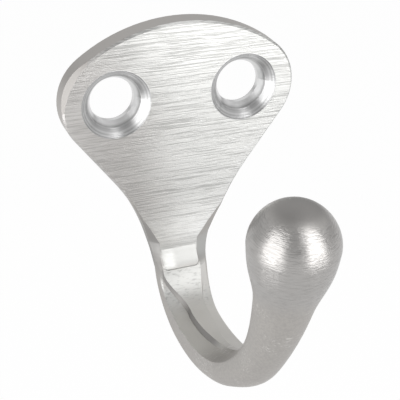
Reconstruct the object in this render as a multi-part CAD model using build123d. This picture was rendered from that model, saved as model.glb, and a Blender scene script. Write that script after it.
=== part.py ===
from build123d import *
import math
import os

# A coat hook cast in one piece: a screw plate, a neck, a bent arm and a knob.
# Millimetres and degrees. The wall is the plane Y = 0, the front faces -Y, +Z is up.
# The origin is on the wall, midway between the two screw holes.

# Plate
hole_spacing = 20.0
plate_thickness = 3.26
ear_radius = 8.11
crown_radius = 25.06
flank_slope = 53.4
flank_radius = 36.0
neck_width = 7.6
edge_break = 0.3

# Screw holes: a countersink over a tapered hole that ends in a short straight land
countersink_diameter = 10.54
countersink_depth = 1.2
hole_diameter = 8.2
land_diameter = 6.8
land_length = 0.8

# Edge ground off the left ear by hand: a coned cut, deepest at its heading
grind_radius = 12.0
grind_width = 0.65
grind_depth = 1.0
grind_heading = 152.0
grind_span = 100.0

# Neck: the ground face ends in a raised tongue that curves forward to a lip just inside the bend.
# Hand grinding leaves the strip between the corner facets a little to the left.
runout_level = 24.6
bend_level = 27.15
lip_turn = 14.5
throat_thickness = 4.65
tongue_width = 6.3
tongue_sink = 0.05
tongue_corner = 1.0
lip_height = 0.35
lip_break = 0.25
corner_start = 17.5
corner_entry = 19.5
corner_clearance = 0.5
strip_shift = -0.55
front_corner_width = 1.9
front_corner_depth = 1.3
back_corner_width = 0.15
back_corner_depth = 0.15
lip_corner_width = 0.95
lip_corner_depth = 1.2
lip_under_width = 0.9
lip_under_depth = 1.5
entry_corner_share = 0.2

# Middle line of the arm: four tangent arcs, from the neck to the middle of the knob
line_depth = 2.315
bend_radius = 9.06
bend_turn = 82.06
run_radius = 26.8
run_turn = 28.1
sweep_radius = 23.07
sweep_turn = 38.98
rise_radius = 50.6
rise_turn = 25.02

# Sections of the arm
bend_width = 7.2
bend_thickness = 4.98
run_width = 7.41
run_thickness = 4.93
sweep_width = 6.36
sweep_thickness = 5.9
stem_diameter = 7.66
knob_diameter = 11.74
dome_pull_share = 0.54
arm_corner_width = 2.25
arm_corner_depth = 1.3
run_corner_width = 3.2
run_corner_depth = 1.1
under_corner_width = 0.6
under_corner_depth = 0.8
crest_shift = 0.3
crest_growth_share = 0.8
shoulder_width_share = 0.87
shoulder_depth_share = 0.25

# Reach of a cut past the face it leaves through
overrun = 2.0

# Sections along each stretch of the middle line
drop_steps = 2
lip_steps = 2
bend_steps = 4
run_steps = 3
sweep_steps = 3
stem_steps = 1
knob_steps = 4


def on_circle(centre, radius, angle):
    """Point of a circle in a plane sketch, at an angle in degrees."""
    turn = math.radians(angle)
    return (centre[0] + radius * math.cos(turn), centre[1] + radius * math.sin(turn))


def ease(share):
    """Slow start and slow end between 0 and 1."""
    share = min(max(share, 0.0), 1.0)
    return share * share * (3 - 2 * share)


def mix(start, end, share):
    """Pair of sizes part of the way from one pair to another."""
    return tuple(a + (b - a) * share for a, b in zip(start, end))


# Tangent points of the plate's outline, right half
ear = (hole_spacing / 2, 0.0)
crown_centre = (0.0, -math.sqrt((crown_radius - ear_radius) ** 2 - ear[0] ** 2))
crown_angle = math.degrees(math.atan2(-crown_centre[1], ear[0]))
flank_turn = 90.0 - flank_slope
ear_end = on_circle(ear, ear_radius, -flank_turn)
hollow_x = neck_width / 2 + flank_radius
hollow_entry_x = hollow_x - flank_radius * math.cos(math.radians(flank_turn))
flank_run = (ear_end[0] - hollow_entry_x) * math.tan(math.radians(flank_slope))
hollow_entry = (hollow_entry_x, ear_end[1] - flank_run)
hollow = (hollow_x, hollow_entry[1] - flank_radius * math.sin(math.radians(flank_turn)))

# Corner facets, across and into the metal: front ones of neck, lip and arm, then those behind them
neck_corner = (front_corner_width, front_corner_depth)
lip_corner = (lip_corner_width, lip_corner_depth)
arm_corner = (arm_corner_width, arm_corner_depth)
run_corner = (run_corner_width, run_corner_depth)
neck_back_corner = (back_corner_width, back_corner_depth)
lip_under_corner = (lip_under_width, lip_under_depth)
arm_under_corner = (under_corner_width, under_corner_depth)

# Where a front corner turns, as shares of its width and depth: halfway on a plain facet, and at the foot
# of the step where the flat crest of the arm stands up from its shoulders
plain_turn = (1 / 2, 1 / 2)
stepped_turn = (shoulder_width_share, shoulder_depth_share)


def neck_half_width(level):
    """Half the width at a depth below the hole row, down in the hollow flank."""
    rise = max(-level - hollow[1], 0.0)
    return hollow[0] - math.sqrt(flank_radius ** 2 - rise ** 2)


def plate_outline():
    """Outline of crown, two ears, straight flanks and hollow flanks, cut off level at the neck."""
    def mirrored(point):
        return (-point[0], point[1])

    join = (neck_half_width(runout_level), -runout_level)
    join_angle = math.degrees(math.atan2(join[1] - hollow[1], hollow[0] - join[0]))
    crown_right = on_circle(crown_centre, crown_radius, crown_angle)
    crown_top = on_circle(crown_centre, crown_radius, 90)
    ear_middle = on_circle(ear, ear_radius, (crown_angle - flank_turn) / 2)
    hollow_middle = on_circle(hollow, flank_radius, 180 - (flank_turn + join_angle) / 2)
    edges = [
        ThreePointArc(mirrored(crown_right), crown_top, crown_right),
        ThreePointArc(crown_right, ear_middle, ear_end),
        Line(ear_end, hollow_entry),
        ThreePointArc(hollow_entry, hollow_middle, join),
        Line(join, mirrored(join)),
        ThreePointArc(mirrored(join), mirrored(hollow_middle), mirrored(hollow_entry)),
        Line(mirrored(hollow_entry), mirrored(ear_end)),
        ThreePointArc(mirrored(ear_end), mirrored(ear_middle), mirrored(crown_right)),
    ]
    return Plane.XZ * make_face(Curve() + edges)


def corner_facet(half_width, reach, width, depth):
    """Two ends of a corner facet, on the side and on the face."""
    return [(half_width, reach - depth), (half_width - width, reach)]


def corner_cutter(side, corner, front):
    """Solid that takes the facet off one long corner of the neck, from nothing to the full facet."""
    facing = 1 if front else -1
    sections = []
    for level in (corner_start, corner_entry, (corner_entry + runout_level) / 2, runout_level):
        clear = corner_clearance * max((corner_entry - level) / (corner_entry - corner_start), 0.0)
        grown = ease((level - corner_entry) / (runout_level - corner_entry))
        size = entry_corner_share + (1 - entry_corner_share) * grown
        half = neck_half_width(level) + clear
        reach = plate_thickness / 2 + clear
        width = corner[0] - side * strip_shift if front else corner[0]
        low, high = corner_facet(half, reach, width * size, corner[1] * size)
        outside = half + overrun
        beyond = reach + overrun
        points = [low, high, (high[0], beyond), (outside, beyond), (outside, low[1])]
        turned = [(side * x, facing * y) for x, y in points]
        plane = Plane(origin=(0, -plate_thickness / 2, -level), x_dir=(1, 0, 0), z_dir=(0, 0, -1))
        sections.append(plane * Face(Wire(Polyline(*turned, close=True).edges())))
    return loft(sections)


def screw_hole():
    """Tool for one hole, on the wall plane at the origin with its axis along -Y."""
    countersink_low = plate_thickness - countersink_depth
    flare = (countersink_diameter - hole_diameter) / countersink_depth * overrun
    profile = [
        (0, -overrun),
        (land_diameter / 2, -overrun),
        (land_diameter / 2, land_length),
        (hole_diameter / 2, countersink_low),
        (countersink_diameter / 2, plate_thickness),
        (countersink_diameter / 2 + flare / 2, plate_thickness + overrun),
        (0, plate_thickness + overrun),
    ]
    face = make_face(Polyline(*[(x, -y) for x, y in profile], close=True))
    return revolve(face, Axis.Y)


def ground_edge():
    """Ring sector with a coned inside that takes the front edge off the left ear."""
    back_off = ear_radius - grind_width - grind_radius
    centre = on_circle((-ear[0], 0), back_off, grind_heading)
    slope = grind_width / grind_depth
    front = -plate_thickness - overrun
    profile = [
        (grind_radius - slope * overrun, front),
        (grind_radius + slope * plate_thickness, 0),
        (grind_radius + ear_radius, 0),
        (grind_radius + ear_radius, front),
    ]
    start = math.radians(grind_heading + grind_span / 2)
    out = (math.cos(start), 0, math.sin(start))
    plane = Plane(origin=(centre[0], 0, centre[1]), x_dir=out, z_dir=(-out[2], 0, out[0]))
    axis = Axis(origin=(centre[0], 0, centre[1]), direction=(0, 1, 0))
    return revolve(plane * make_face(Polyline(*profile, close=True)), axis, grind_span)


def plate():
    """Screw plate with eased edges, neck corners, screw holes and the ground edge."""
    body = extrude(plate_outline(), plate_thickness)
    front_rim = body.faces().sort_by(Axis.Y)[0].edges().sort_by(Axis.Z)[1:]
    body = chamfer(front_rim, edge_break)
    for side in (1, -1):
        body -= corner_cutter(side, neck_corner, True)
        body -= corner_cutter(side, neck_back_corner, False)
        body -= Pos(side * ear[0], 0, 0) * screw_hole()
    return body - ground_edge()


def front_points(half_width, inner, width, depth, turn):
    """Three points of a front corner: on the side, where it turns, and on the face."""
    low, high = corner_facet(half_width, inner, width, depth)
    return [low, (low[0] - width * turn[0], low[1] + depth * turn[1]), high]


def section(half_width, inner, outer, front_corner, turn, rear_corner, shift, roundness):
    """Closed outline of the arm: flats with faceted corners at roundness 0, an ellipse at roundness 1."""
    rear = [(x, -y) for x, y in reversed(corner_facet(half_width, outer, *rear_corner))]
    right = rear + front_points(half_width, inner, front_corner[0] - shift, front_corner[1], turn)
    left = rear + front_points(half_width, inner, front_corner[0] + shift, front_corner[1], turn)
    corners = right + [(-x, y) for x, y in reversed(left)]
    middle = (inner - outer) / 2
    half_height = (inner + outer) / 2

    def rounded(point):
        angle = math.atan2((point[1] - middle) / half_height, point[0] / half_width)
        on_ellipse = (half_width * math.cos(angle), middle + half_height * math.sin(angle))
        return mix(point, on_ellipse, roundness)

    edges = []
    for start, end in zip(corners, corners[1:] + corners[:1]):
        if roundness == 0:
            edges.append(Line(start, end))
        else:
            edges.append(ThreePointArc(rounded(start), rounded(mix(start, end, 1 / 2)), rounded(end)))
    return Face(Wire(edges))


def moved(place, length, turn):
    """Place and heading after a stretch of the middle line: an arc, or a straight when it doesn't turn."""
    y, z, heading = place
    start = math.radians(heading)
    end = math.radians(heading + turn)
    if turn == 0:
        return (y - length * math.sin(start), z - length * math.cos(start), heading)
    radius = length / (end - start)
    forward = radius * (math.cos(start) - math.cos(end))
    down = radius * (math.sin(end) - math.sin(start))
    return (y - forward, z - down, heading + turn)


def stations(place, stretches):
    """Places along stretches of (length, turn, steps), each with its stretch number and share run."""
    found = [(place, 0, 0.0)]
    for number, (length, turn, steps) in enumerate(stretches):
        for i in range(1, steps + 1):
            found.append((moved(place, length * i / steps, turn * i / steps), number, i / steps))
        place = found[-1][0]
    return found


def arc_stretch(radius, turn, steps):
    """Length, turn and steps of one arc of the middle line."""
    return (radius * math.radians(turn), turn, steps)


def across(place):
    """Plane across the middle line: local X is the part's X, local Y points to the inner side."""
    heading = math.radians(place[2])
    along = (0, -math.sin(heading), -math.cos(heading))
    return Plane(origin=(0, place[0], place[1]), x_dir=(1, 0, 0), z_dir=along)


# The neck's stretch of the middle line, a straight drop and the first part of the bend
drop = bend_level - runout_level
neck_line = stations((-line_depth, -runout_level, 0.0),
                     [(drop, 0.0, drop_steps), arc_stretch(bend_radius, lip_turn, lip_steps)])
neck_length = drop + bend_radius * math.radians(lip_turn)
lip_place = neck_line[-1][0]

# The arm's stretches, from the lip to the middle of the knob
arm_line = stations(lip_place, [
    arc_stretch(bend_radius, bend_turn - lip_turn, bend_steps),
    arc_stretch(run_radius, run_turn, run_steps),
    arc_stretch(sweep_radius, sweep_turn, sweep_steps),
    arc_stretch(rise_radius, rise_turn / 2, stem_steps),
    arc_stretch(rise_radius, rise_turn / 2, knob_steps),
])
knob_place = arm_line[-1][0]


def neck_sections():
    """Sections below the plate, where the front thickens from the plate to the throat."""
    found = []
    for place, number, share in neck_line:
        run = drop * share if number == 0 else drop + (neck_length - drop) * share
        thickness = plate_thickness + (throat_thickness - plate_thickness) * (run / neck_length) ** 2
        front_corner = mix(neck_corner, lip_corner, run / neck_length)
        rear_corner = mix(neck_back_corner, lip_under_corner, run / neck_length)
        half_width = neck_half_width(-place[1])
        inner = thickness - line_depth
        shape = section(half_width, inner, line_depth, front_corner, plain_turn, rear_corner, strip_shift, 0)
        found.append(across(place) * shape)
    return found


def arm_sections():
    """Sections from the throat to the middle of the knob."""
    thicknesses = (bend_thickness, run_thickness, sweep_thickness, stem_diameter, knob_diameter)
    halves = [thickness / 2 for thickness in thicknesses]
    half_widths = [neck_half_width(-lip_place[1])]
    half_widths += [width / 2 for width in (bend_width, run_width, sweep_width, stem_diameter, knob_diameter)]
    inner = [throat_thickness - line_depth] + halves
    outer = [line_depth] + halves
    sizes = list(zip(half_widths, inner, outer))
    found = []
    for place, number, share in arm_line[1:]:
        half_width, front, back = mix(sizes[number], sizes[number + 1], ease(share))
        grown = ease((number + share) / crest_growth_share)
        scale = half_width / sizes[2][0] if number > 1 else 1
        corner = mix(mix(lip_corner, arm_corner, grown), run_corner, ease(number - 1 + share))
        front_corner = (corner[0] * scale, corner[1] * scale)
        turn = mix(plain_turn, stepped_turn, grown)
        rear_corner = mix(lip_under_corner, arm_under_corner, ease(number + share))
        shift = (strip_shift + (crest_shift - strip_shift) * grown) * scale
        roundness = ease((number - 1 + share) / 2)
        shape = section(half_width, front, back, front_corner, turn, rear_corner, shift, roundness)
        found.append(across(place) * shape)
    return found


def tongue():
    """Raised end of the ground face: it curves forward out of the plate and stops at a lip."""
    half = tongue_width / 2
    plane = across(lip_place)
    lip = plane.from_local_coords((0, throat_thickness - line_depth + lip_height, 0))
    start = (tongue_sink - plate_thickness, -runout_level)
    forward = start[0] - lip.Y
    fall = start[1] - lip.Z
    radius = (fall ** 2 + forward ** 2) / (2 * forward)
    turn = math.degrees(math.asin(fall / radius))
    centre = (start[0] - radius, start[1])
    past = turn + lip_turn
    low = on_circle(centre, radius, -past)
    edges = [
        ThreePointArc(start, on_circle(centre, radius, -past / 2), low),
        Line(low, (0, low[1])),
        Line((0, low[1]), (0, start[1])),
        Line((0, start[1]), start),
    ]
    body = extrude(Plane.YZ * make_face(Curve() + edges), half + overrun, both=True)
    top = fall + overrun
    corner = (half - tongue_corner, tongue_corner)
    bend = [on_circle(corner, tongue_corner, angle) for angle in (0, -45, -90)]
    left = [(-x, y) for x, y in bend]
    plan = [
        Line((half, top), bend[0]),
        ThreePointArc(*bend),
        Line(bend[2], left[2]),
        ThreePointArc(left[2], left[1], left[0]),
        Line(left[0], (-half, top)),
        Line((-half, top), (half, top)),
    ]
    facing = Plane(origin=(0, lip.Y, lip.Z), x_dir=(1, 0, 0), z_dir=plane.y_dir)
    reach = line_depth + lip_height
    body = body & extrude(facing * make_face(Curve() + plan), reach, both=True)
    rim = body.faces().filter_by(GeomType.CYLINDER).sort_by(SortBy.AREA)[-1].edges().sort_by(Axis.Z)[:-1]
    return chamfer(rim, lip_break)


def knob_end():
    """Domed end of the knob, turned about the middle line's last heading."""
    heading = math.radians(knob_place[2])
    along = (0, -math.sin(heading), -math.cos(heading))
    centre = (0, knob_place[0], knob_place[1])
    plane = Plane(origin=centre, x_dir=along, z_dir=(1, 0, 0))
    radius = knob_diameter / 2
    pull = radius * dome_pull_share
    dome = Bezier((radius, 0), (radius, pull), (pull, radius), (0, radius))
    face = plane * make_face(Curve() + [Line((0, 0), (radius, 0)), dome, Line((0, radius), (0, 0))])
    return revolve(face, Axis(origin=centre, direction=along))


def arm():
    """Neck, bend and arm: three lofts, each from the section where the one before it ends."""
    neck = neck_sections()
    onward = arm_sections()
    bend = neck[-1:] + onward[:bend_steps]
    return loft(neck) + loft(bend) + loft(onward[bend_steps - 1:])


casting = plate() + arm() + knob_end() + Pos(strip_shift, 0, 0) * tongue()
os.makedirs("parts", exist_ok=True)
export_step(casting, "parts/coat_hook.step")
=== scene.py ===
import math

import bpy
from mathutils import Matrix, Vector

# A coat hook cast in aluminium. The front face is linished, the screw holes are turned, and the arm and
# knob are filed and rubbed to a satin.
# Metres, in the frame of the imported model: the wall is Y = 0, the front faces -Y, +Z is up.

MM = 0.001

# Camera, at the angle of the photograph, in degrees and millimetres
camera_place = Vector((-51.988, -142.325, 62.824)) * MM
camera_azimuth = -21.594
camera_elevation = 28.404
camera_roll = 0.465
camera_lens = 97.847
sensor_width = 36.0

# Places on the hook that the finishes follow, in millimetres
hole_offset = 10.0
countersink_radius = 5.27
back_edge = -0.02
plate_front = -3.26
plate_foot = -17.0
tongue_level = -24.2
lip_level = -28.9
bend_front = -7.0
bend_middle = (-11.4, -27.15)
bend_inside = 8.6
crest_end = -22.0
arm_half_width = 4.0
arm_taper = 0.06
knob_middle = (-41.816, -4.109)
knob_radius = 5.87
knob_lean = math.radians(5.84)

# Zones of the finishes and of the painted light and shade: each pair is where one has gone and where it is
# full, in millimetres or by facing

# Linished front: its flat, the plate's eased rim and the neck's left corner that the belt wraps
flat_facing = (-0.93, -0.985)
front_reach = (plate_front - 0.5, plate_front - 0.2)
rim_facing = (-0.6, -0.68)
rim_foot = (plate_foot, plate_foot + 2.0)
rim_depth = (plate_front + 0.45, plate_front + 0.3)
wrap_facing = (-0.55, -0.75)
wrap_edge = (-2.7, -2.2)
wrap_left = (-1.0, -2.0)
wrap_top = (plate_foot, plate_foot - 3.0)
wrap_foot = (lip_level + 0.1, lip_level + 0.7)
before_bend = (bend_front, bend_front + 1.0)

# Polish of the front from left to right, partly where the belt lines fade and partly painted light; its shift
# towards the top, painted light that is brighter above; and a painted highlight towards the tongue
polish_and_light_ends = (-7.0, 4.5)
painted_light_rise = (-5.0, 9.0)
painted_highlight_top = (tongue_level + 9.0, tongue_level)

# Turned holes
hole_rim = (countersink_radius + 0.12, countersink_radius - 0.03)
hole_front = (plate_front - 1.0, plate_front - 0.5)
hole_back = (back_edge, back_edge - 0.08)
taper_start = (-1.9, -1.3)

# Cast edge round the plate
edge_front = (plate_front - 0.4, plate_front)
edge_back = (back_edge - 0.03, back_edge - 0.28)
edge_foot = (plate_foot + 1.0, plate_foot + 5.0)

# Left side of the neck, painted darker as shade
corner_facing = (-0.3, -0.5)
corner_reach = (bend_front - 1.0, bend_front + 1.0)
corner_top = (plate_foot + 3.0, plate_foot - 6.0)
corner_foot = (lip_level - 2.1, lip_level + 1.9)

# Tongue
tongue_top = (tongue_level + 0.8, tongue_level - 1.6)
tongue_foot = (lip_level - 0.2, lip_level)
tongue_facing = (-0.55, -0.8)

# Crest inside the bend, ground by the wheel and given a painted highlight below the lip, and the steps that
# are its steep sides, with painted shade on the left and a painted highlight on the right
crest_top = (lip_level + 0.1, lip_level - 0.2)
crest_highlight_fade = (-14.0, -4.0)
crest_facing_front = (-0.15, -0.75)
crest_facing_right = (0.5, 0.2)
step_side = (arm_half_width + 0.1, arm_half_width)
step_depth = (bend_inside + 0.1, bend_inside - 0.1)
step_top = (lip_level + 0.4, lip_level)
step_end = (crest_end, crest_end + 4.0)
step_shade_facing = (-0.35, -0.6)
step_highlight_facing = (0.2, 0.5)

# Inside of the bend, which loops rub
rubbed_facing = (0.1, 0.5)
rubbed_top = (lip_level + 1.0, lip_level)
rubbed_end = (crest_end - 4.0, crest_end + 4.0)

# Arm and knob, by the distance from the wall and by the height along the knob from its middle
arm_start = (-12.0, -18.0)
arm_top = (-6.0, -9.0)
knob_start = (-30.0, -34.0)
filed_foot = (-9.0, -4.0)
filed_top = (5.4, 4.0)
# Painted shade on the knob's crown, by the height along the knob
crown_shade_foot = (3.8, 5.4)

# Strokes: their sizes in millimetres along each axis, and a seed that sets each pattern apart
# Belt lines of about 0.05 mm, drawn 0.12 mm wide so that they show
hair_strokes = ((6.0, 6.0, 0.12), 0.0)
streak_strokes = ((8.0, 8.0, 0.6), 5.0)
polish_and_light_strokes = ((1.6, 1.6, 0.22), 9.0)
wrap_strokes = ((1.2, 1.2, 0.25), 6.0)
# Cutter marks of about 0.1 mm, drawn 0.3 mm wide so that they show
ring_strokes = ((0.3, 0.35, 1.0), 3.0)
# File marks of about 0.1 mm, drawn 0.15 mm wide so that they show
file_strokes = ((1.6, 0.15, 1.0), 1.0)
ripple_strokes = ((0.9, 0.3, 0.3), 2.0)
nick_strokes = ((1.6, 0.22, 0.22), 7.0)
patch_strokes = ((6.0, 6.0, 6.0), 4.0)
# Cast grain of about 0.1 mm, drawn a third of a millimetre wide so that it shows
grains_per_mm = 3.0

# Noise at which each stroke starts and is full, and how fine and how broken the noise is
hair_noise = (0.44, 0.6)
streak_noise = (0.35, 0.7)
ring_noise = (0.3, 0.7)
file_noise = (0.42, 0.68)
ripple_noise = (0.5, 0.7)
nick_noise = (0.58, 0.66)
patch_noise = (0.48, 0.58)
grain_noise = (0.35, 0.65)
noise_detail = 2.0
stroke_break = 0.55

# Linished lines: slope in radians, depth of the hairs and of the streaks, and how far both fade at the tongue
linish_tilt = -0.015
hair_depth = 0.6
streak_depth = 0.12
tongue_depth = 0.6
line_fade = (tongue_level, tongue_level + 8.0)

# How far ragged edges wander and the painted light shifts the polish left towards the top, in millimetres
polish_and_light_wander = 5.0
painted_light_spread = 7.0
wrap_wander = 1.6

# Roughness of each finish
satin_roughness = 0.48
linished_roughness = 0.36
turned_roughness = 0.3
filed_roughness = 0.3

# Height and strength of the marks, and how much deeper the file cuts
mark_height = 0.06 * MM
mark_strength = 0.3
file_depth = 1.2

# Floor of the studio in metres, and the share of it that shows plain white
floor_half = 20.0
floor_level = -0.1
floor_white = 0.96

# Walls by the rise of the view, and the ceiling by how near the view is to its direction
wall_foot = (0.02, 0.05)
wall_top = (0.13, 0.42)
ceiling_way = (-0.4, -0.4, 0.82)
ceiling_near = (0.3, 0.95)

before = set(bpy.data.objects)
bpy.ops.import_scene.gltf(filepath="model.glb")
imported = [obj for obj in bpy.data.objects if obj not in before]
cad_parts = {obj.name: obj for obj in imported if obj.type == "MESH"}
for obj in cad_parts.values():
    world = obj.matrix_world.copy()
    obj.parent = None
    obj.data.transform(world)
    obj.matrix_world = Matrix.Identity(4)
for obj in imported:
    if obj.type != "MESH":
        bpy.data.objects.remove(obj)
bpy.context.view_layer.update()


def linear(code):
    """Linear colour of an sRGB hex value."""
    parts = [int(code[i:i + 2], 16) / 255 for i in (1, 3, 5)]
    return tuple(c / 12.92 if c <= 0.04045 else ((c + 0.055) / 1.055) ** 2.4 for c in parts) + (1.0,)


def add(tree, kind, inputs=(), out=0, **settings):
    """Adds a node with its settings, sets or links its inputs by order or name, and gives one output."""
    made = tree.nodes.new("ShaderNode" + kind)
    for name, value in settings.items():
        setattr(made, name, value)
    for name, value in (inputs.items() if isinstance(inputs, dict) else enumerate(inputs)):
        if isinstance(value, bpy.types.NodeSocket):
            tree.links.new(value, made.inputs[name])
        else:
            made.inputs[name].default_value = value
    return made.outputs[out] if made.outputs else made


def zone(tree, *limits):
    """Share of the surface inside every limit. A limit is a value with the end where the share is 0 and the
    end where it is 1, and the share eases between them."""
    share = None
    for value, outside, inside in limits:
        eased = add(tree, "MapRange", (value, outside, inside), interpolation_type="SMOOTHSTEP")
        share = eased if share is None else add(tree, "Math", (share, eased), operation="MULTIPLY")
    return share


def coated(tree, layers):
    """Colour of the first layer, with each later (share, colour) laid over those before it."""
    tone = layers[0]
    for share, colour in layers[1:]:
        tone = add(tree, "Mix", {0: share, 6: tone, 7: colour}, out=2, data_type="RGBA")
    return tone


def strokes(tree, place, sizes, seed):
    """Noise drawn out into strokes of the given sizes in millimetres along each axis."""
    fineness = tuple(1 / size for size in sizes)
    drawn = add(tree, "VectorMath", (place, fineness, (seed,) * 3), operation="MULTIPLY_ADD")
    noise = {"Vector": drawn, "Scale": 1.0, "Detail": noise_detail, "Roughness": stroke_break}
    return add(tree, "TexNoise", noise)


def front_zone(tree, place, x, y, z, facing):
    """The linished front: its flat, the plate's eased rim, and the neck's corner that the belt wraps."""
    flat = zone(tree, (facing[1], *flat_facing), (y, *front_reach))
    rim = zone(tree, (facing[1], *rim_facing), (z, *rim_foot), (y, *rim_depth), (y, *front_reach))
    ragged = strokes(tree, place, *wrap_strokes)
    ragged = add(tree, "Math", (ragged, wrap_wander, x), operation="MULTIPLY_ADD")
    wrapped = zone(tree, (facing[1], *wrap_facing), (ragged, *wrap_edge), (x, *wrap_left),
                   (z, *wrap_top), (z, *wrap_foot), (y, *before_bend))
    front = add(tree, "Math", (flat, wrapped), operation="MAXIMUM")
    return add(tree, "Math", (front, rim), operation="MAXIMUM")


def linished(tree, place, x, z):
    """Front tone and line depth: fine level lines; bright to the right and towards the top, partly painted
    light; dull on the left below the hole, partly where the belt lines fade and partly painted shade; and a
    painted highlight towards the tongue.
    """
    level = add(tree, "Mapping", {"Vector": place, "Rotation": (0.0, linish_tilt, 0.0)})
    hair = zone(tree, (strokes(tree, level, *hair_strokes), *hair_noise))
    streak = zone(tree, (strokes(tree, level, *streak_strokes), *streak_noise))
    depth = add(tree, "Math", (streak, streak_depth), operation="MULTIPLY")
    depth = add(tree, "Math", (hair, hair_depth, depth), operation="MULTIPLY_ADD")
    # The lines fade where the belt leaves the face, towards the tongue
    fading = add(tree, "MapRange", (z, *line_fade, tongue_depth, 1.0))
    depth = add(tree, "Math", (depth, fading), operation="MULTIPLY")

    wander = strokes(tree, level, *polish_and_light_strokes)
    wander = add(tree, "Math", (wander, polish_and_light_wander, x), operation="MULTIPLY_ADD")
    # Painted light: the polish spreads left towards the top so that the front is brighter above, and a
    # painted highlight lies towards the tongue
    upper = zone(tree, (z, *painted_light_rise))
    wander = add(tree, "Math", (upper, painted_light_spread, wander), operation="MULTIPLY_ADD")
    polish_and_light = zone(tree, (wander, *polish_and_light_ends))
    highlight_near_tongue = zone(tree, (wander, *polish_and_light_ends), (z, *painted_highlight_top))
    bright = coated(tree, [
        linear("#C2C0BE"),
        (polish_and_light, linear("#D0D0CE")),
        (highlight_near_tongue, linear("#ECECEA")),
    ])
    cut = coated(tree, [linear("#A2A09E"), (polish_and_light, linear("#9A9A98"))])
    return coated(tree, [bright, (depth, cut)]), depth


def turned_hole(tree, x, y, z):
    """Share, tone and ring height of the screw holes: marks of the cutter run round each hole's axis, and the
    taper behind the countersink is brighter than the countersink."""
    side = add(tree, "Math", (x,), operation="ABSOLUTE")
    side = add(tree, "Math", (side, hole_offset), operation="SUBTRACT")
    flat = add(tree, "CombineXYZ", (side, z, 0.0))
    radius = add(tree, "VectorMath", (flat,), out=1, operation="LENGTH")
    share = zone(tree, (radius, *hole_rim), (y, *hole_front), (y, *hole_back))
    rings = strokes(tree, add(tree, "CombineXYZ", (radius, y, 0.0)), *ring_strokes)
    tone = coated(tree, [
        linear("#9C9C9C"),
        (zone(tree, (rings, *ring_noise)), linear("#C2C2C2")),
        (zone(tree, (y, *taper_start)), linear("#DADADA")),
    ])
    return share, tone, rings


def plate_edge_zone(tree, y, z):
    """The cast edge round the plate, dressed a little brighter than the arm."""
    return zone(tree, (y, *edge_front), (y, *edge_back), (z, *edge_foot))


def corner_shade_zone(tree, y, z, facing):
    """The neck's left side, painted darker as shade where it faces left."""
    return zone(tree, (facing[0], *corner_facing), (y, *corner_reach), (z, *corner_top), (z, *corner_foot))


def tongue_zone(tree, y, z, facing):
    """The smooth end of the ground face, where it curves forward to the lip."""
    return zone(tree, (z, *tongue_top), (z, *tongue_foot), (facing[1], *tongue_facing), (y, *before_bend))


def crest_and_highlight_zone(tree, y, z, facing):
    """The flat crest inside the bend, ground by the wheel, with a painted highlight below the lip that fades
    as it turns up.
    """
    return zone(tree, (z, *crest_top), (y, *crest_highlight_fade),
                (facing[1], *crest_facing_front), (facing[0], *crest_facing_right))


def step_shade_and_highlight_zones(tree, x, y, z, facing):
    """The steep sides of the crest: painted shade on the left side and a painted highlight on the right side.
    """
    off = add(tree, "Math", (x,), operation="ABSOLUTE")
    across = add(tree, "Math", (y, -arm_taper, off), operation="MULTIPLY_ADD")
    behind = add(tree, "Math", (y, bend_middle[0]), operation="SUBTRACT")
    behind = add(tree, "Math", (behind, 0.0), operation="MAXIMUM")
    below = add(tree, "Math", (z, bend_middle[1]), operation="SUBTRACT")
    depth = add(tree, "CombineXYZ", (behind, below, 0.0))
    depth = add(tree, "VectorMath", (depth,), out=1, operation="LENGTH")
    inside = [(across, *step_side), (depth, *step_depth), (z, *step_top), (y, *step_end)]
    left = zone(tree, *inside, (facing[0], *step_shade_facing))
    right = zone(tree, *inside, (facing[0], *step_highlight_facing))
    return left, right


def rubbed_zone(tree, y, z, facing):
    """The inside of the bend, which loops rub brighter."""
    return zone(tree, (facing[2], *rubbed_facing), (z, *rubbed_top), (y, *rubbed_end))


def knob_place(tree, x, y, z):
    """Way round the knob and height along it, in millimetres."""
    forward = add(tree, "Math", (knob_middle[0], y), operation="SUBTRACT")
    lifted = add(tree, "Math", (z, knob_middle[1]), operation="SUBTRACT")
    lean = add(tree, "Math", (forward, math.sin(knob_lean)), operation="MULTIPLY")
    height = add(tree, "Math", (lifted, math.cos(knob_lean), lean), operation="MULTIPLY_ADD")
    angle = add(tree, "Math", (x, forward), operation="ARCTAN2")
    return add(tree, "Math", (angle, knob_radius), operation="MULTIPLY"), height


def filed_knob(tree, y, around, height):
    """Shares of the filed knob, of its file marks and of the painted shade on its crown."""
    filed = zone(tree, (height, *filed_foot), (height, *filed_top), (y, *knob_start))
    crown_shade = zone(tree, (height, *crown_shade_foot), (y, *knob_start))
    marks = strokes(tree, add(tree, "CombineXYZ", (around, height, 0.0)), *file_strokes)
    marks = add(tree, "Math", (filed, zone(tree, (marks, *file_noise))), operation="MULTIPLY")
    return filed, marks, crown_shade


def nick_zone(tree, place, y, height, filed):
    """Stray bright nicks in patches on the arm below the knob."""
    unfiled = add(tree, "Math", (1.0, filed), operation="SUBTRACT")
    nicks = strokes(tree, place, *nick_strokes)
    patches = strokes(tree, place, *patch_strokes)
    nicks = zone(tree, (nicks, *nick_noise), (patches, *patch_noise), (y, *arm_start), (height, *arm_top))
    return add(tree, "Math", (nicks, unfiled), operation="MULTIPLY")


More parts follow.
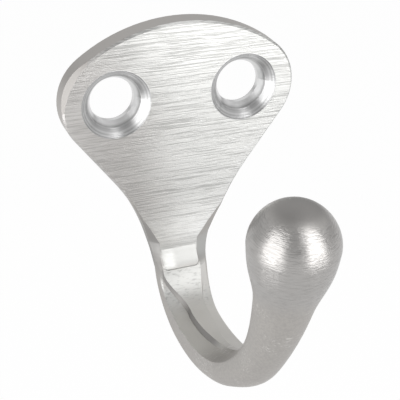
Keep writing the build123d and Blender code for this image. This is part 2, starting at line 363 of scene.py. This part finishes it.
def linished_cast_aluminium():
    """Cast aluminium, linished, turned and filed, by where the surface is and which way it faces. The eye
    sees level lines on a bright front, rings in the holes, and a grey satin with file marks elsewhere."""
    material = bpy.data.materials.new("linished_cast_aluminium")
    material.use_nodes = True
    tree = material.node_tree
    tree.nodes.clear()
    place = add(tree, "VectorMath", (add(tree, "TexCoord", out=3), (1 / MM,) * 3), operation="MULTIPLY")
    x, y, z = add(tree, "SeparateXYZ", (place,)).node.outputs
    facing = add(tree, "SeparateXYZ", (add(tree, "NewGeometry", out=1),)).node.outputs

    front = front_zone(tree, place, x, y, z, facing)
    front_tone, line_depth = linished(tree, place, x, z)
    hole, hole_tone, rings = turned_hole(tree, x, y, z)
    crest_and_highlight = crest_and_highlight_zone(tree, y, z, facing)
    left_step_shade, right_step_highlight = step_shade_and_highlight_zones(tree, x, y, z, facing)
    around, height = knob_place(tree, x, y, z)
    knob, marks, crown_shade = filed_knob(tree, y, around, height)
    grain = add(tree, "TexNoise", {"Vector": place, "Scale": grains_per_mm, "Detail": noise_detail})
    # Ripples that the wheel leaves across the crest
    ripples = strokes(tree, place, *ripple_strokes)
    ripple_cuts = add(tree, "Math", (crest_and_highlight, zone(tree, (ripples, *ripple_noise))), operation="MULTIPLY")

    tone = coated(tree, [
        linear("#A8A5A2"),
        (zone(tree, (grain, *grain_noise)), linear("#B0ADA9")),
        (plate_edge_zone(tree, y, z), linear("#B2AFAC")),
        # Painted shade on the neck's left side
        (corner_shade_zone(tree, y, z, facing), linear("#949290")),
        (rubbed_zone(tree, y, z, facing), linear("#C8C6C2")),
        (nick_zone(tree, place, y, height, knob), linear("#CECCC9")),
        # Painted shade on the knob's crown
        (crown_shade, linear("#918F8D")),
        (knob, linear("#ACAAA8")),
        (marks, linear("#9E9C9A")),
        # The front's tone carries painted light: brighter to the right and the top, with a painted highlight
        # towards the tongue
        (front, front_tone),
        (hole, hole_tone),
        # The crest's ground tone with a painted highlight below the lip
        (crest_and_highlight, linear("#B3B3B1")),
        (ripple_cuts, linear("#9A9A98")),
        # Painted shade on the crest's left step and a painted highlight on its right step
        (left_step_shade, linear("#92908E")),
        (right_step_highlight, linear("#D4D2CF")),
        (tongue_zone(tree, y, z, facing), linear("#B2B2B0")),
    ])
    rough = add(tree, "MapRange", (front, 0.0, 1.0, satin_roughness, linished_roughness))
    rough = add(tree, "MapRange", (hole, 0.0, 1.0, rough, turned_roughness))
    rough = add(tree, "MapRange", (knob, 0.0, 1.0, rough, filed_roughness))

    raised = add(tree, "Math", (rings, hole), operation="MULTIPLY")
    raised = add(tree, "Math", (ripples, crest_and_highlight, raised), operation="MULTIPLY_ADD")
    raised = add(tree, "Math", (marks, -file_depth, raised), operation="MULTIPLY_ADD")
    lines = add(tree, "Math", (line_depth, front), operation="MULTIPLY")
    raised = add(tree, "Math", (raised, lines), operation="SUBTRACT")
    bump = add(tree, "Bump", {"Strength": mark_strength, "Distance": mark_height, "Height": raised})
    finish = {"Metallic": 1.0, "Base Color": tone, "Roughness": rough, "Normal": bump}
    add(tree, "OutputMaterial", {"Surface": add(tree, "BsdfPrincipled", finish)})
    return material


def camera():
    """Camera at the photograph's viewing angle."""
    data = bpy.data.cameras.new("camera")
    data.lens = camera_lens
    data.sensor_width = sensor_width
    data.clip_start = MM
    turn, lift, roll = (math.radians(a) for a in (camera_azimuth, camera_elevation, camera_roll))
    back = Vector((math.sin(turn) * math.cos(lift), -math.cos(turn) * math.cos(lift), math.sin(lift)))
    right = Vector((math.cos(turn), math.sin(turn), 0.0))
    up = back.cross(right)
    across = math.cos(roll) * right + math.sin(roll) * up
    upward = -math.sin(roll) * right + math.cos(roll) * up
    axes = Matrix((across, upward, back)).transposed().to_4x4()
    made = bpy.data.objects.new("camera", data)
    bpy.context.scene.collection.objects.link(made)
    made.matrix_world = Matrix.Translation(camera_place) @ axes
    bpy.context.scene.camera = made


def lamp(name, place, target, size, radiance):
    """Soft rectangular studio lamp that faces its target, in metres."""
    data = bpy.data.lights.new(name, "AREA")
    data.shape = "RECTANGLE"
    data.size, data.size_y = size
    data.energy = radiance * math.pi * size[0] * size[1]
    made = bpy.data.objects.new(name, data)
    bpy.context.scene.collection.objects.link(made)
    turn = (Vector(place) - Vector(target)).to_track_quat("Z", "Y").to_matrix().to_4x4()
    made.matrix_world = Matrix.Translation(place) @ turn


def white_paper():
    """Matt white paper: plain white to the eye and in reflections, with a faint shadow under the hook."""
    material = bpy.data.materials.new("white_paper")
    material.use_nodes = True
    tree = material.node_tree
    tree.nodes.clear()
    light = add(tree, "LightPath").node.outputs
    seen = add(tree, "Math", (light["Is Camera Ray"], light["Is Glossy Ray"]), operation="MAXIMUM")
    seen = add(tree, "Math", (seen, light["Is Transmission Ray"]), operation="MAXIMUM")
    share = add(tree, "Math", (seen, floor_white), operation="MULTIPLY")
    matt = add(tree, "BsdfDiffuse", {"Color": linear("#F4F4F4")})
    glow = add(tree, "Emission", {"Color": linear("#FFFFFF"), "Strength": 1.0})
    add(tree, "OutputMaterial", {"Surface": add(tree, "MixShader", (share, matt, glow))})
    return material


def floor():
    """White paper floor below the hook."""
    mesh = bpy.data.meshes.new("floor")
    ways = ((-1, -1), (1, -1), (1, 1), (-1, 1))
    corners = [(floor_half * across, floor_half * along, floor_level) for across, along in ways]
    mesh.from_pydata(corners, [], [(0, 1, 2, 3)])
    mesh.materials.append(white_paper())
    made = bpy.data.objects.new("floor", mesh)
    bpy.context.scene.collection.objects.link(made)


def surround():
    """Studio walls, white at the floor, grey low down and pale above, greyer overhead at the front left."""
    world = bpy.data.worlds.new("studio")
    bpy.context.scene.world = world
    world.use_nodes = True
    tree = world.node_tree
    tree.nodes.clear()
    direction = add(tree, "TexCoord", out=0)
    rise = add(tree, "SeparateXYZ", (direction,), out=2)
    toward = add(tree, "VectorMath", (direction, ceiling_way), out=1, operation="DOT_PRODUCT")
    tone = coated(tree, [
        linear("#FFFFFF"),
        (zone(tree, (rise, *wall_foot)), linear("#B4B4B4")),
        (zone(tree, (rise, *wall_top)), linear("#F4F4F4")),
        (zone(tree, (toward, *ceiling_near)), linear("#C0C0C0")),
    ])
    add(tree, "OutputWorld", {"Surface": add(tree, "Background", {"Color": tone, "Strength": 1.0})})


def studio():
    """Floor, surround and two soft boxes, right and left."""
    floor()
    surround()
    lamp("right_box", place=(0.082, -0.197, 0.15), target=(0.0, -0.042, 0.15),
         size=(0.13, 0.42), radiance=2.8)
    lamp("left_box", place=(-0.165, -0.085, 0.03), target=(0.0, -0.04, 0.03),
         size=(0.16, 0.26), radiance=2.2)


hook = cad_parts["coat_hook"]
hook.data.materials.clear()
hook.data.materials.append(linished_cast_aluminium())
camera()
studio()
bpy.context.scene.view_settings.view_transform = "Standard"
